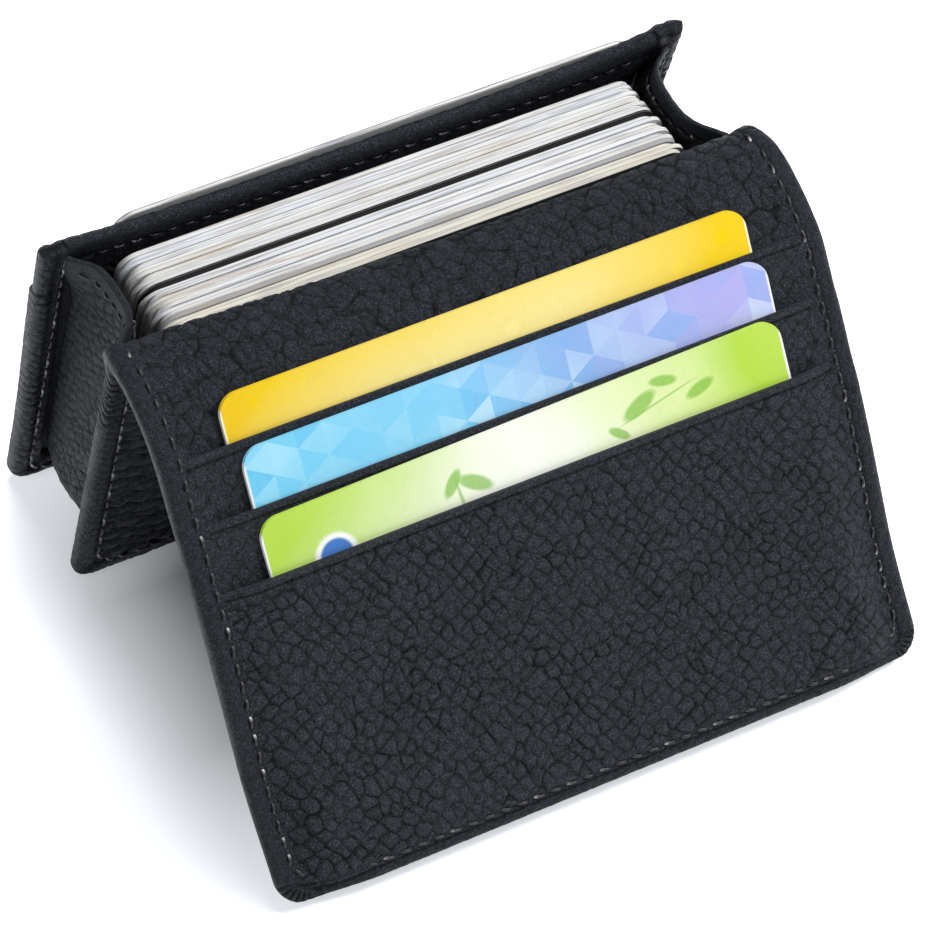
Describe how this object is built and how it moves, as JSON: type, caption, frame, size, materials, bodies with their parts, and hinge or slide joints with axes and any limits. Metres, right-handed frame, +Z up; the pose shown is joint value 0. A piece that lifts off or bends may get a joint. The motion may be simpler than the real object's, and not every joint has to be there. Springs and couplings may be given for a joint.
{
  "type": "business card case",
  "caption": "Gusseted leather card case standing like a tent, with a card pocket, slip pocket and a flap with card slots.",
  "frame": {"origin": "middle of the back wall's bottom edge, on the surface the case stands on", "axes": "+X across the case, +Y towards its back, +Z up"},
  "size_m": [0.108, 0.0989, 0.0641],
  "materials": {
    "black_leather": "semi-matte pebble grain",
    "black_lining": "matte twill",
    "stiffener": "matte bonded board",
    "thread": "matte twisted thread",
    "white_card": "satin",
    "grey_card": "satin",
    "dark_card": "satin",
    "yellow_card": "gloss print",
    "blue_card": "gloss print",
    "green_card": "gloss print"
  },
  "bodies": {
    "case": {"back_wall_leather": "black_leather", "back_wall_board": "stiffener", "back_wall_lining": "black_lining", "back_wall_top_band": "black_leather", "slip_pocket": "black_leather", "left_gusset": "black_leather", "right_gusset": "black_leather", "base_gusset": "black_leather", "left_gusset_lining": "black_lining", "right_gusset_lining": "black_lining", "base_lining": "black_lining", "case_seam_stitches": "thread"},
    "front_wall": {"front_wall_cover": "black_leather", "front_wall_board": "stiffener", "front_wall_lining": "black_lining", "front_wall_top_band": "black_leather", "left_front_flange": "black_leather", "right_front_flange": "black_leather", "base_front_flange": "black_leather", "front_wall_fold": "black_leather"},
    "spine": {"spine_cover": "black_leather", "spine_facing": "black_leather", "spine_fold": "black_leather"},
    "flap": {"flap_cover": "black_leather", "flap_board": "stiffener", "flap_facing": "black_leather", "upper_slot_strip": "black_leather", "upper_pocket_cloth": "black_lining", "middle_slot_strip": "black_leather", "middle_pocket_cloth": "black_lining", "lower_slot_panel": "black_leather", "flap_seam_stitches": "thread"},
    "yellow_card": {"yellow_card": "yellow_card"},
    "blue_card": {"blue_card": "blue_card"},
    "green_card": {"green_card": "green_card"},
    "id_card": {"id_card": "white_card"},
    "rear_stack": {"rear_stack_cards": "white_card", "dark_divider_card": "dark_card"},
    "front_stack": {"front_stack_cards": "white_card", "grey_card": "grey_card", "cream_stack_cards": "white_card"}
  },
  "joints": [
    {"name": "mouth_spread", "type": "hinge", "parent": "case", "child": "front_wall", "pos_m": [0, -0.0222, 0], "axis": [-1, 0, 0], "range_deg": [-2, 0]},
    {"name": "spine_swing", "type": "hinge", "parent": "front_wall", "child": "spine", "pos_m": [0, -0.0382, 0.0619], "axis": [-1, 0, 0], "range_deg": [-25, 116]},
    {"name": "flap_fold", "type": "hinge", "parent": "spine", "child": "flap", "pos_m": [0, -0.04845, 0.06208], "axis": [-1, 0, 0], "range_deg": [-10, 80]},
    {"name": "yellow_card_slide", "type": "slide", "parent": "flap", "child": "yellow_card", "axis": [0, -0.5446, -0.8387], "range_m": [-0.045, 0]},
    {"name": "blue_card_slide", "type": "slide", "parent": "flap", "child": "blue_card", "axis": [0, -0.5446, -0.8387], "range_m": [-0.045, 0]},
    {"name": "green_card_slide", "type": "slide", "parent": "flap", "child": "green_card", "axis": [0, -0.5446, -0.8387], "range_m": [-0.045, 0]},
    {"name": "id_card_slide", "type": "slide", "parent": "case", "child": "id_card", "axis": [0, 0.2419, -0.9703], "range_m": [-0.05, 0.009]},
    {"name": "rear_stack_lift", "type": "slide", "parent": "case", "child": "rear_stack", "axis": [0, 0.2419, -0.9703], "range_m": [-0.06, 0]},
    {"name": "front_stack_lift", "type": "slide", "parent": "case", "child": "front_stack", "axis": [0, 0.2419, -0.9703], "range_m": [-0.06, 0]}
  ]
}
